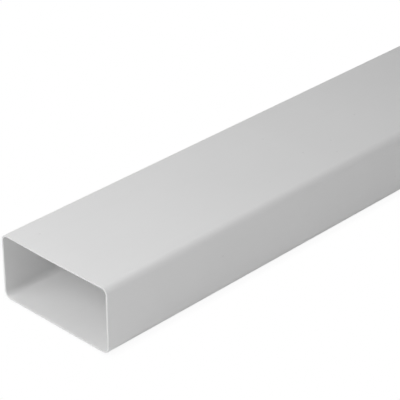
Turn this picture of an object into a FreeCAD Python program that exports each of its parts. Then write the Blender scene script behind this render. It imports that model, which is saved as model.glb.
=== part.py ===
"""A straight length of flat channel duct: one thin-walled rectangular tube with rounded corners, extruded in
white rigid PVC and sawn square at both ends.

The duct lies on a broad wall. +X runs along the duct, Y across its width and +Z up. The origin is on the
floor, under the middle of the duct. All sizes are in millimetres.
"""

import FreeCAD, Part
import Sketcher

import os
from math import asin, pi

# Driving sizes of the extrusion. The width and height are taken outside, the corner radius is that of the
# outer skin, and the top sag is how far the upper broad wall dips at mid-width.
SIZES = {
    "duct_length": 1000.0,
    "duct_width": 110.0,
    "duct_height": 54.0,
    "wall_thickness": 1.4,
    "corner_radius": 6.0,
    "top_sag": 0.6,
}

# The corner centres stand one corner radius inside the outer faces, and both skins share them.
CENTRE_ACROSS = "(Sizes.duct_width / 2 - Sizes.corner_radius)"
CENTRE_UP = "(Sizes.duct_height - Sizes.corner_radius)"
INNER_RADIUS = "(Sizes.corner_radius - Sizes.wall_thickness)"
# The top wall is a shallow arc about a point high above the duct. It dips by the sag and runs smoothly into
# both top corners, which sets how far that point lies from the corner centres.
SAG_REACH = f"(({CENTRE_ACROSS} ^ 2 + Sizes.top_sag ^ 2) / (2 * Sizes.top_sag))"
SAG_RADIUS = f"({SAG_REACH} - Sizes.corner_radius)"

# The eight edges of one skin's outline, in the order in which they are drawn, with +Y to the right.
BOTTOM, BOTTOM_RIGHT, RIGHT, TOP_RIGHT, TOP, TOP_LEFT, LEFT, BOTTOM_LEFT = range(8)
CORNERS = (BOTTOM_RIGHT, TOP_RIGHT, TOP_LEFT, BOTTOM_LEFT)
# A sketch's own numbers: an edge's points count up from one, and the axes count down from minus one. The
# origin is the start of the horizontal axis.
START, END, CENTRE = range(1, 4)
HORIZONTAL_AXIS, VERTICAL_AXIS = range(-1, -3, -1)
ORIGIN = (HORIZONTAL_AXIS, START)

MM3_PER_CM3 = 1000


def make_sheet(doc):
    """The sheet of driving sizes, one named cell for each."""
    sheet = doc.addObject("Spreadsheet::Sheet", "Sizes")
    for row, (name, value) in enumerate(SIZES.items(), start=1):
        sheet.set(f"A{row}", name)
        sheet.set(f"B{row}", str(value))
        sheet.setAlias(f"B{row}", name)
    doc.recompute()


def line(start, end):
    """A straight edge in the section plane."""
    return Part.LineSegment(FreeCAD.Vector(*start, 0), FreeCAD.Vector(*end, 0))


def arc(across, up, radius, start_angle, end_angle):
    """A round edge in the section plane, anticlockwise between two angles in radians."""
    circle = Part.Circle(FreeCAD.Vector(across, up, 0), FreeCAD.Vector(0, 0, 1), radius)
    return Part.ArcOfCircle(circle, start_angle, end_angle)


def draw_skin(section, inset):
    """Draws the closed outline of one skin, which lies the inset within the outer faces, and joins its edges
    smoothly. Returns the sketch's number for each edge, in drawing order."""
    across = section.evalExpression(CENTRE_ACROSS)
    up = section.evalExpression(CENTRE_UP)
    low = section.evalExpression("Sizes.corner_radius")
    reach = section.evalExpression(SAG_REACH)
    sag_centre = up + reach - section.evalExpression("Sizes.top_sag")
    tilt = asin(across / reach)
    radius = low - inset
    side = across + radius
    outline = [
        line((-across, inset), (across, inset)),
        arc(across, low, radius, -pi / 2, 0),
        line((side, low), (side, up)),
        arc(across, up, radius, 0, pi / 2 + tilt),
        arc(0, sag_centre, reach - radius, -pi / 2 - tilt, -pi / 2 + tilt),
        arc(-across, up, radius, pi / 2 - tilt, pi),
        line((-side, up), (-side, low)),
        arc(-across, low, radius, pi, 3 * pi / 2),
    ]
    edges = section.addGeometry(outline, False)
    for place, edge in enumerate(edges):
        after = (place + 1) % len(edges)
        # The sagging top curves the other way, so it alone is drawn from left to right.
        leaves = START if place == TOP else END
        meets = END if after == TOP else START
        section.addConstraint(Sketcher.Constraint("Tangent", edge, leaves, edges[after], meets))
    return edges


def dimension(section, name, expression, kind, *where):
    """A named dimension of the section, tied to the sheet."""
    value = section.evalExpression(expression)
    index = section.addConstraint(Sketcher.Constraint(kind, *where, value))
    section.renameConstraint(index, name)
    section.setExpression(f"Constraints.{name}", expression)


def draw_section(body):
    """The duct's cross-section: the outer skin, and the inner skin one wall thickness within it."""
    section = body.newObject("Sketcher::SketchObject", "Section")
    planes = {feature.Role: feature for feature in body.Origin.OriginFeatures}
    section.AttachmentSupport = (planes["YZ_Plane"], "")
    section.MapMode = "FlatFace"
    outer = draw_skin(section, 0)
    inner = draw_skin(section, section.evalExpression("Sizes.wall_thickness"))

    # The outer skin stands on the floor, astride the middle of the duct.
    bottom = outer[BOTTOM]
    section.addConstraint(Sketcher.Constraint("Symmetric", bottom, START, bottom, END, VERTICAL_AXIS))
    section.addConstraint(Sketcher.Constraint("PointOnObject", bottom, START, HORIZONTAL_AXIS))
    section.addConstraint(Sketcher.Constraint("PointOnObject", outer[TOP], CENTRE, VERTICAL_AXIS))
    for side in (LEFT, RIGHT):
        section.addConstraint(Sketcher.Constraint("Vertical", outer[side]))
    for corner in (TOP_RIGHT, TOP_LEFT, BOTTOM_LEFT):
        section.addConstraint(Sketcher.Constraint("Equal", outer[BOTTOM_RIGHT], outer[corner]))
    dimension(section, "width", "Sizes.duct_width", "DistanceX", outer[LEFT], START, outer[RIGHT], END)
    dimension(section, "centre_up", CENTRE_UP, "DistanceY", *ORIGIN, outer[TOP_RIGHT], CENTRE)
    dimension(section, "corner_radius", "Sizes.corner_radius", "Radius", outer[BOTTOM_RIGHT])
    dimension(section, "sag_radius", SAG_RADIUS, "Radius", outer[TOP])

    # The inner skin turns about the outer skin's own centres, so the wall is equally thick all round.
    for edge in (*CORNERS, TOP):
        section.addConstraint(Sketcher.Constraint("Coincident", inner[edge], CENTRE, outer[edge], CENTRE))
    for corner in (TOP_RIGHT, BOTTOM_LEFT):
        section.addConstraint(Sketcher.Constraint("Equal", inner[BOTTOM_RIGHT], inner[corner]))
    dimension(section, "inner_radius", INNER_RADIUS, "Radius", inner[BOTTOM_RIGHT])
    return section


def make_duct(doc):
    """The duct: its section extruded to length, half to each side of the middle."""
    body = doc.addObject("PartDesign::Body", "Duct")
    body.Label = "flat_channel_duct"
    section = draw_section(body)
    extrusion = body.newObject("PartDesign::Pad", "Extrusion")
    extrusion.Profile = section
    extrusion.SideType = "Symmetric"
    extrusion.setExpression("Length", "Sizes.duct_length")
    doc.recompute()
    return body


def check(doc, pieces):
    """Stops if anything in the document failed, or if a piece isn't one valid solid."""
    failed = [item.Label for item in doc.Objects if {"Invalid", "Error"} & set(item.State)]
    if failed:
        raise RuntimeError(f"failed to rebuild: {failed}")
    for piece in pieces:
        if piece.Shape.isNull() or not piece.Shape.isValid() or len(piece.Shape.Solids) != 1:
            raise RuntimeError(f"{piece.Label} is not one valid solid")


def write(pieces):
    """Writes each piece's solid to a file of its own name."""
    os.makedirs("parts", exist_ok=True)
    for piece in pieces:
        piece.Shape.exportStep(f"parts/{piece.Label}.step")
        box = piece.Shape.BoundBox
        size = f"{box.XLength:.3f} x {box.YLength:.3f} x {box.ZLength:.3f} mm"
        print(f"{piece.Label}: {size}, {piece.Shape.Volume / MM3_PER_CM3:.2f} cm3")


doc = FreeCAD.newDocument("FlatChannelDuct")
make_sheet(doc)
pieces = [make_duct(doc)]
check(doc, pieces)
write(pieces)
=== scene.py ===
import math

import bpy
import numpy as np
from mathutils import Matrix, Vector


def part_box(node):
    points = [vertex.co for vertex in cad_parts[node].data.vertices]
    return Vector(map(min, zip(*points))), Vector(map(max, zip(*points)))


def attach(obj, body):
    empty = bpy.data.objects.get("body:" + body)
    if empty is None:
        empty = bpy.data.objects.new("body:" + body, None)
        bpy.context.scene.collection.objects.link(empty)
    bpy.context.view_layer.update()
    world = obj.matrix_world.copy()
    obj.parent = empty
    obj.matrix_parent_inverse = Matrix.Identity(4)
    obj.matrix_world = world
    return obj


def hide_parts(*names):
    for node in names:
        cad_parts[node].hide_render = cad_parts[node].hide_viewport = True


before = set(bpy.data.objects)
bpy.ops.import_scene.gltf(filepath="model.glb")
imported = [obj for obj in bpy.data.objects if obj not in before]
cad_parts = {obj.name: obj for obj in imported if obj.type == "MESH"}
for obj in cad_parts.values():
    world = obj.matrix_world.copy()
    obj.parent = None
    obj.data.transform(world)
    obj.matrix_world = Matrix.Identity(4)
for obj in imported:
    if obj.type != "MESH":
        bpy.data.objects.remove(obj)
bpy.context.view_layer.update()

# The duct: one straight length of rectangular tube with rounded corners, in white rigid PVC. It is pushed
# hot through a die, so its walls run true along its whole length, and a saw cuts it square at both ends. It
# lies on one broad wall, and the upper broad wall dips a little at mid-width.
DUCT_LOW, DUCT_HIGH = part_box("flat_channel_duct")
DUCT_LENGTH, DUCT_WIDTH, DUCT_HEIGHT = DUCT_HIGH - DUCT_LOW
WALL = 0.0014
CORNER_RADIUS = 0.006
TOP_SAG = 0.0006
SAWN_EDGE_RADIUS = 0.00015

CORNER_STEPS = 20
BROAD_WALL_STEPS = 36
NARROW_WALL_STEPS = 20
SAWN_EDGE_STEPS = 4
SAWN_END_STEPS = 6
LENGTH_STEPS = 60
QUARTER_TURN = math.pi / 2


def bunched(steps):
    """Numbers from 0 to 1 that lie closer together towards both ends: half of one minus the cosine of an
    angle that runs evenly from nothing to half a turn."""
    return (1 - np.cos(np.linspace(0, math.pi, steps + 1))) / 2


def straight_run(start, end, steps):
    """Points along a straight line, bunched towards its ends: start plus a share of the way to the end. The
    normal is the line's own direction turned a quarter to the right, and the last point is left to the next
    run. Returns points and normals."""
    way = np.subtract(end, start)
    points = np.asarray(start) + bunched(steps)[:-1, None] * way
    normals = np.tile((way[1], -way[0]) / np.linalg.norm(way), (steps, 1))
    return points, normals


def round_run(centre, radius, start, end, steps):
    """Points round a circle, from one angle in radians to another: the centre plus the radius times the
    cosine and sine. The normal is that cosine and sine, so with a negative radius it points at the centre.
    The last point is left to the next run. Returns points and normals."""
    angles = np.linspace(start, end, steps + 1)[:-1]
    normals = np.stack((np.cos(angles), np.sin(angles)), axis=1)
    return np.asarray(centre) + radius * normals, normals


def join(runs):
    """One closed outline from runs that follow each other: their points and their normals, end to end."""
    points, normals = zip(*runs)
    return np.concatenate(points), np.concatenate(normals)


def duct_section():
    """The outer skin seen along the duct, anticlockwise from the lower left, as (across, up). Flat walls
    join four round corners, apart from the top: that is a wide arc about a point high above. Its reach from
    the upper corners' centres is the square of half their distance plus the square of the sag, over twice
    the sag, so that the arc meets the corners smoothly."""
    right = DUCT_WIDTH / 2
    centre = right - CORNER_RADIUS
    low = CORNER_RADIUS
    high = DUCT_HEIGHT - CORNER_RADIUS
    reach = (centre**2 + TOP_SAG**2) / (2 * TOP_SAG)
    tilt = math.asin(centre / reach)
    above = (0, high + reach - TOP_SAG)
    up = QUARTER_TURN
    return join(
        [
            straight_run((-centre, 0), (centre, 0), BROAD_WALL_STEPS),
            round_run((centre, low), CORNER_RADIUS, -up, 0, CORNER_STEPS),
            straight_run((right, low), (right, high), NARROW_WALL_STEPS),
            round_run((centre, high), CORNER_RADIUS, 0, up + tilt, CORNER_STEPS),
            round_run(above, CORNER_RADIUS - reach, up + tilt, up - tilt, BROAD_WALL_STEPS),
            round_run((-centre, high), CORNER_RADIUS, up - tilt, 2 * up, CORNER_STEPS),
            straight_run((-right, high), (-right, low), NARROW_WALL_STEPS),
            round_run((-centre, low), CORNER_RADIUS, 2 * up, 3 * up, CORNER_STEPS),
        ]
    )


def wall_outline():
    """The wall cut open lengthwise, as (along the duct, depth below the outer skin): a rectangle one wall
    deep that starts on the outer skin, with arcs for corners, the slightly rounded edges of the cuts."""
    end = DUCT_LENGTH / 2
    turn = end - SAWN_EDGE_RADIUS
    shallow = SAWN_EDGE_RADIUS
    deep = WALL - SAWN_EDGE_RADIUS
    inwards = QUARTER_TURN
    points, _ = join(
        [
            straight_run((-turn, 0), (turn, 0), LENGTH_STEPS),
            round_run((turn, shallow), SAWN_EDGE_RADIUS, -inwards, 0, SAWN_EDGE_STEPS),
            straight_run((end, shallow), (end, deep), SAWN_END_STEPS),
            round_run((turn, deep), SAWN_EDGE_RADIUS, 0, inwards, SAWN_EDGE_STEPS),
            straight_run((turn, WALL), (-turn, WALL), LENGTH_STEPS),
            round_run((-turn, deep), SAWN_EDGE_RADIUS, inwards, 2 * inwards, SAWN_EDGE_STEPS),
            straight_run((-end, deep), (-end, shallow), SAWN_END_STEPS),
            round_run((-turn, shallow), SAWN_EDGE_RADIUS, 2 * inwards, 3 * inwards, SAWN_EDGE_STEPS),
        ]
    )
    return points


def closed_grid(rows, columns):
    """The quads of a grid that closes on itself both ways: each joins a point to the next ones in its row
    and column, counted round. Returns four point numbers for each quad, row by row."""
    number = np.arange(rows * columns).reshape(rows, columns)
    beside = np.roll(number, -1, axis=0)
    corners = (number, beside, np.roll(beside, -1, axis=1), np.roll(number, -1, axis=1))
    return np.stack(corners, axis=-1).reshape(-1, len(corners))


# Every point of the section carries the wall's outline inwards along its normal, from end to end.
section, outward = duct_section()
wall = wall_outline()
along, depth = wall[:, 0], wall[:, 1]
across_and_up = section[:, None, :] - depth[None, :, None] * outward[:, None, :]
length_points = np.broadcast_to(along[None, :, None], (len(section), len(wall), 1))
duct_points = np.concatenate((length_points, across_and_up), axis=2)
duct_quads = closed_grid(len(section), len(wall))

duct_mesh = bpy.data.meshes.new("flat_channel_duct_wall")
duct_mesh.from_pydata(duct_points.reshape(-1, 3), [], duct_quads)
duct_mesh.polygons.foreach_set("use_smooth", np.ones(len(duct_quads), bool))
duct_mesh.update()
duct = bpy.data.objects.new("duct_wall", duct_mesh)
bpy.context.scene.collection.objects.link(duct)


def add_node(tree, kind, inputs=None, **settings):
    """Adds a node to a tree. Each input, by name or number, takes a value or another node's output."""
    node = tree.nodes.new(kind)
    for name, value in settings.items():
        setattr(node, name, value)
    for name, value in (inputs or {}).items():
        if isinstance(value, bpy.types.NodeSocket):
            tree.links.new(value, node.inputs[name])
        else:
            node.inputs[name].default_value = value
    return node


def between(tree, share, low, high, start=0, end=1, smooth=False):
    """A value that goes from low to high as the share goes from start to end, and no further: in a straight
    line, or in a smooth step that is level at both ends."""
    inputs = {"Value": share, "From Min": start, "From Max": end, "To Min": low, "To Max": high}
    kind = "SMOOTHSTEP" if smooth else "LINEAR"
    return add_node(tree, "ShaderNodeMapRange", inputs, interpolation_type=kind).outputs["Result"]


def new_group(name, takes, gives):
    """An empty shader group whose sockets are named here. It takes a place on the piece and some numbers,
    and gives numbers. Returns its tree, the sockets it reads from and the node that takes its results."""
    tree = bpy.data.node_groups.new(name, "ShaderNodeTree")
    tree.interface.new_socket("Place", in_out="INPUT", socket_type="NodeSocketVector")
    for socket in takes:
        tree.interface.new_socket(socket, in_out="INPUT", socket_type="NodeSocketFloat")
    for socket in gives:
        tree.interface.new_socket(socket, in_out="OUTPUT", socket_type="NodeSocketFloat")
    return tree, tree.nodes.new("NodeGroupInput").outputs, tree.nodes.new("NodeGroupOutput")


LINE_DETAIL = 4
LINE_UNEVENNESS = 0.6


def fine_lines():
    """Shader group. Fine lines side by side: noise on a place that the material has squeezed along the
    lines. Gives a height from 0 to 1."""
    tree, given, result = new_group("fine_lines", ["Lines per Metre"], ["Height"])
    lined = {"Vector": given["Place"], "Scale": given["Lines per Metre"]}
    uneven = {"Detail": LINE_DETAIL, "Roughness": LINE_UNEVENNESS}
    lines = add_node(tree, "ShaderNodeTexNoise", lined | uneven)
    tree.links.new(lines.outputs["Fac"], result.inputs["Height"])
    return tree


# Noise mostly lies between these two values.
NOISE_LOW, NOISE_HIGH = 0.3, 0.7
CLOUDS_PER_METRE = 14
SPECK_CELLS_PER_METRE = 45
SPECK_CORE, SPECK_RIM = 0.02, 0.05


def pigment():
    """Shader group. How white the plastic is: broad faint clouds of pigment between a deep and a pale tone,
    and a few small specks, each where the point of a random cell happens to lie at the surface. A speck
    fades from its core to its rim, both given as shares of a cell. Gives the tone."""
    tree, given, result = new_group("pigment", ["Deep", "Pale", "Speck"], ["Tone"])
    cloud = add_node(tree, "ShaderNodeTexNoise", {"Vector": given["Place"], "Scale": CLOUDS_PER_METRE})
    clouded = between(tree, cloud.outputs["Fac"], given["Deep"], given["Pale"], NOISE_LOW, NOISE_HIGH)
    scattered = {"Vector": given["Place"], "Scale": SPECK_CELLS_PER_METRE}
    cells = add_node(tree, "ShaderNodeTexVoronoi", scattered)
    speck = between(tree, cells.outputs["Distance"], 1, 0, SPECK_CORE, SPECK_RIM, smooth=True)
    tree.links.new(between(tree, speck, clouded, given["Speck"]), result.inputs["Tone"])
    return tree


SCUFFS_PER_METRE = 1200
SCUFF_DETAIL = 1
SCUFF_TURN = (0.3, 0.5, 0.9)
SCUFF_STRETCH = (0.03, 1, 1)
SCUFF_FOOT, SCUFF_CREST = 0.6, 0.72
PATCHES_PER_METRE = 18
PATCH_EDGE, PATCH_HEART = 0.52, NOISE_HIGH


def scuffs():
    """Shader group. Hairline scuffs from handling: the crests of a noise that is turned and stretched into
    long thin streaks, in the patches where a broad noise is high. Gives a mask from 0 to 1."""
    tree, given, result = new_group("scuffs", [], ["Mask"])
    turned = {"Vector": given["Place"], "Rotation": SCUFF_TURN, "Scale": SCUFF_STRETCH}
    streaks = add_node(tree, "ShaderNodeMapping", turned).outputs["Vector"]
    streaked = {"Vector": streaks, "Scale": SCUFFS_PER_METRE, "Detail": SCUFF_DETAIL}
    crests = add_node(tree, "ShaderNodeTexNoise", streaked)
    patches = add_node(tree, "ShaderNodeTexNoise", {"Vector": given["Place"], "Scale": PATCHES_PER_METRE})
    patch = between(tree, patches.outputs["Fac"], 0, 1, PATCH_EDGE, PATCH_HEART, smooth=True)
    mask = between(tree, crests.outputs["Fac"], 0, patch, SCUFF_FOOT, SCUFF_CREST, smooth=True)
    tree.links.new(mask, result.inputs["Mask"])
    return tree


FINE_LINES, PIGMENT, SCUFFS = fine_lines(), pigment(), scuffs()
PVC_IOR = 1.53
SCUFFED_ROUGHNESS = 0.7
ALONG_THE_DUCT = (0.004, 1, 1)
DOWN_THE_CUT = (1, 1, 0.03)
# The two inputs of a Math node share one name, so they go by number.
FIRST, SECOND = 0, 1


def pvc_finish(name, deep, pale, speck, valley, crest, squeeze, lines_per_metre, line_height, painted_line_shade):
    """One finish of the white PVC: its deep, pale and speck tones, its roughness in the valleys and on the
    crests of its fine lines, and how those lines run. The lines give its bump, and by a small share of the
    tone they paint shade into their valleys and a painted highlight onto their crests. Scuffs roughen it."""
    material = bpy.data.materials.new(name)
    material.use_nodes = True
    tree = material.node_tree
    place = add_node(tree, "ShaderNodeTexCoord").outputs["Object"]

    tones = {"Place": place, "Deep": deep, "Pale": pale, "Speck": speck}
    tone = add_node(tree, "ShaderNodeGroup", tones, node_tree=PIGMENT).outputs["Tone"]
    squeezed = add_node(tree, "ShaderNodeMapping", {"Vector": place, "Scale": squeeze}).outputs["Vector"]
    lines = {"Place": squeezed, "Lines per Metre": lines_per_metre}
    height = add_node(tree, "ShaderNodeGroup", lines, node_tree=FINE_LINES).outputs["Height"]
    scuffed = add_node(tree, "ShaderNodeGroup", {"Place": place}, node_tree=SCUFFS).outputs["Mask"]
    lined = between(tree, height, valley, crest, NOISE_LOW, NOISE_HIGH)
    # Painted shade in the lines' valleys and painted highlight on their crests, multiplied into the tone.
    shade = between(tree, height, 1 - painted_line_shade, 1 + painted_line_shade, NOISE_LOW, NOISE_HIGH)
    shaded = add_node(tree, "ShaderNodeMath", {FIRST: tone, SECOND: shade}, operation="MULTIPLY")
    bump = add_node(tree, "ShaderNodeBump", {"Height": height, "Distance": line_height})

    shader = tree.nodes["Principled BSDF"]
    shader.inputs["IOR"].default_value = PVC_IOR
    tree.links.new(shaded.outputs["Value"], shader.inputs["Base Color"])
    tree.links.new(between(tree, scuffed, lined, SCUFFED_ROUGHNESS), shader.inputs["Roughness"])
    tree.links.new(bump.outputs["Normal"], shader.inputs["Normal"])
    return material


# The die leaves fine lines along both skins, and the saw leaves closer ones down the cut ends.
outer_skin = pvc_finish(
    "outer_pvc", deep=0.87, pale=0.885, speck=0.8, valley=0.4, crest=0.52,
    squeeze=ALONG_THE_DUCT, lines_per_metre=300, line_height=0.00004, painted_line_shade=0.004,
)
# The cut ends' tones are painted darker than the skins': painted shade against the front softboxes' strong
# light.
sawn_end = pvc_finish(
    "sawn_pvc_painted_shade", deep=0.755, pale=0.795, speck=0.72, valley=0.6, crest=0.75,
    squeeze=DOWN_THE_CUT, lines_per_metre=1500, line_height=0.00005, painted_line_shade=0.03,
)
bore_skin = pvc_finish(
    "bore_pvc", deep=0.865, pale=0.88, speck=0.8, valley=0.46, crest=0.58,
    squeeze=ALONG_THE_DUCT, lines_per_metre=200, line_height=0.00006, painted_line_shade=0.006,
)
finishes = (outer_skin, sawn_end, bore_skin)
for finish in finishes:
    duct_mesh.materials.append(finish)
OUTER_SKIN, SAWN_END, BORE_SKIN = range(len(finishes))
SAWN_STEPS = 2 * SAWN_EDGE_STEPS + SAWN_END_STEPS
round_the_wall = np.repeat(
    (OUTER_SKIN, SAWN_END, BORE_SKIN, SAWN_END), (LENGTH_STEPS, SAWN_STEPS, LENGTH_STEPS, SAWN_STEPS)
)
duct_mesh.polygons.foreach_set("material_index", np.tile(round_the_wall, len(section)))

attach(duct, "root")
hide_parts("flat_channel_duct")

# The floor: a wide white table top, matt and plain, that the duct lies on. It throws the light of the room
# back up at the duct, and the camera sees it as plain white, with a faint painted shadow close to the
# duct's foot.
FLOOR_HALF = 30
FLOOR_WHITE = 0.9
CONTACT_SHADE = 0.93
CONTACT_REACH = 0.007
floor_corners = np.array([(-1, -1, 0), (1, -1, 0), (1, 1, 0), (-1, 1, 0)]) * FLOOR_HALF
floor_mesh = bpy.data.meshes.new("pale_floor")
floor_mesh.from_pydata(floor_corners, [], [range(len(floor_corners))])
floor = bpy.data.objects.new("pale_floor", floor_mesh)
bpy.context.scene.collection.objects.link(floor)

pale_floor = bpy.data.materials.new("pale_floor")
pale_floor.use_nodes = True
floor_tree = pale_floor.node_tree
floor_shader = floor_tree.nodes["Principled BSDF"]
floor_shader.inputs["Base Color"].default_value = (FLOOR_WHITE, FLOOR_WHITE, FLOOR_WHITE, 1)
floor_shader.inputs["Specular IOR Level"].default_value = 0
# Painted shadow: the white shown to the camera darkens where the duct hems the floor in, not by the lamps.
openness = add_node(floor_tree, "ShaderNodeAmbientOcclusion", {"Distance": CONTACT_REACH}).outputs["AO"]
white_with_painted_shadow = between(floor_tree, openness, CONTACT_SHADE, 1)
seen_white = add_node(floor_tree, "ShaderNodeEmission", {"Strength": white_with_painted_shadow})
camera_ray = add_node(floor_tree, "ShaderNodeLightPath").outputs["Is Camera Ray"]
lit_or_seen = add_node(floor_tree, "ShaderNodeMixShader", {"Fac": camera_ray})
# The two shaders that are mixed have one name too, so they go by number. Number 0 is the second's share.
LIT, SEEN = 1, 2
floor_tree.links.new(floor_shader.outputs["BSDF"], lit_or_seen.inputs[LIT])
floor_tree.links.new(seen_white.outputs["Emission"], lit_or_seen.inputs[SEEN])
floor_tree.links.new(lit_or_seen.outputs["Shader"], floor_tree.nodes["Material Output"].inputs["Surface"])
floor_mesh.materials.append(pale_floor)

# The studio: softboxes before, beside and above the front half of the duct, a small one that shines into
# its mouth, and two with a narrow beam on its back end. A white room gives the rest of the light. The
# camera sees that room as plain white, and no softbox.
FRONT_HALF = (-0.3, 0, 0.03)
FRONT_END = (-0.5, 0, 0)
BACK_END = (0.5, 0, 0.03)
OPEN_BEAM, NARROW_BEAM = 180, 30
# Each one's place, what it faces, its width and height, its watts, and how many degrees wide its beam is.
SOFTBOXES = {
    "front_softbox": ((-1.188, 0.238, 0.801), FRONT_HALF, (1.2, 0.4), 3.35, OPEN_BEAM),
    "mouth_softbox": ((-1.34, 0, 0.63), FRONT_HALF, (0.3, 0.4), 3.8, OPEN_BEAM),
    "right_softbox": ((-0.3, -1.552, 0.417), FRONT_HALF, (0.8, 0.7), 3.25, OPEN_BEAM),
    "left_softbox": ((-0.3, 1.226, 1.058), FRONT_HALF, (0.8, 0.8), 3.58, OPEN_BEAM),
    "top_softbox": ((-0.5, 0, 0.9), FRONT_END, (1, 0.7), 1.57, OPEN_BEAM),
    "back_right_softbox": ((1.1, -0.4, 0.55), BACK_END, (0.2, 0.2), 0.09, NARROW_BEAM),
    "back_left_softbox": ((1.1, 0.4, 0.55), BACK_END, (0.2, 0.2), 0.06, NARROW_BEAM),
}
# This one gives no gloss, because from the back end it would glare off the top wall.
GLOSSLESS_SOFTBOX = "mouth_softbox"


def place_and_aim(thing, place, aim):
    """Puts a light or camera at a place and turns it to face another: its -Z axis along the way from the
    place to the aim, and its Y axis as nearly upright as that allows."""
    thing.location = place
    thing.rotation_mode = "QUATERNION"
    thing.rotation_quaternion = (Vector(aim) - Vector(place)).to_track_quat("-Z", "Y")
    bpy.context.scene.collection.objects.link(thing)


for name, (place, aim, (width, height), watts, beam) in SOFTBOXES.items():
    light = bpy.data.lights.new(name, "AREA")
    light.shape = "RECTANGLE"
    light.size = width
    light.size_y = height
    light.energy = watts
    light.spread = math.radians(beam)
    softbox = bpy.data.objects.new(name, light)
    softbox.visible_camera = False
    softbox.visible_glossy = name != GLOSSLESS_SOFTBOX
    place_and_aim(softbox, place, aim)

ROOM_LIGHT = 0.187
ROOM_WHITE = (1, 1, 1, 1)
room = bpy.data.worlds.new("white_room")
room.use_nodes = True
room_tree = room.node_tree
room_ray = add_node(room_tree, "ShaderNodeLightPath").outputs["Is Camera Ray"]
background = room_tree.nodes["Background"]
background.inputs["Color"].default_value = ROOM_WHITE
room_tree.links.new(between(room_tree, room_ray, ROOM_LIGHT, 1), background.inputs["Strength"])
bpy.context.scene.world = room
bpy.context.scene.view_settings.view_transform = "Standard"

# The camera: a long lens looks down on the open end from its right, so the duct runs off the right of the
# picture. Its place comes from a fit to the edges in the photograph.
CAMERA_PLACE = (-1.1948, -0.8143, 0.7024)
CAMERA_AIM = (-0.3361, 0.0156, 0.03)
CAMERA_LENS = 161.02
CAMERA_SENSOR = 36
lens = bpy.data.cameras.new("camera")
lens.lens = CAMERA_LENS
lens.sensor_width = CAMERA_SENSOR
camera = bpy.data.objects.new("camera", lens)
place_and_aim(camera, CAMERA_PLACE, CAMERA_AIM)
bpy.context.scene.camera = camera
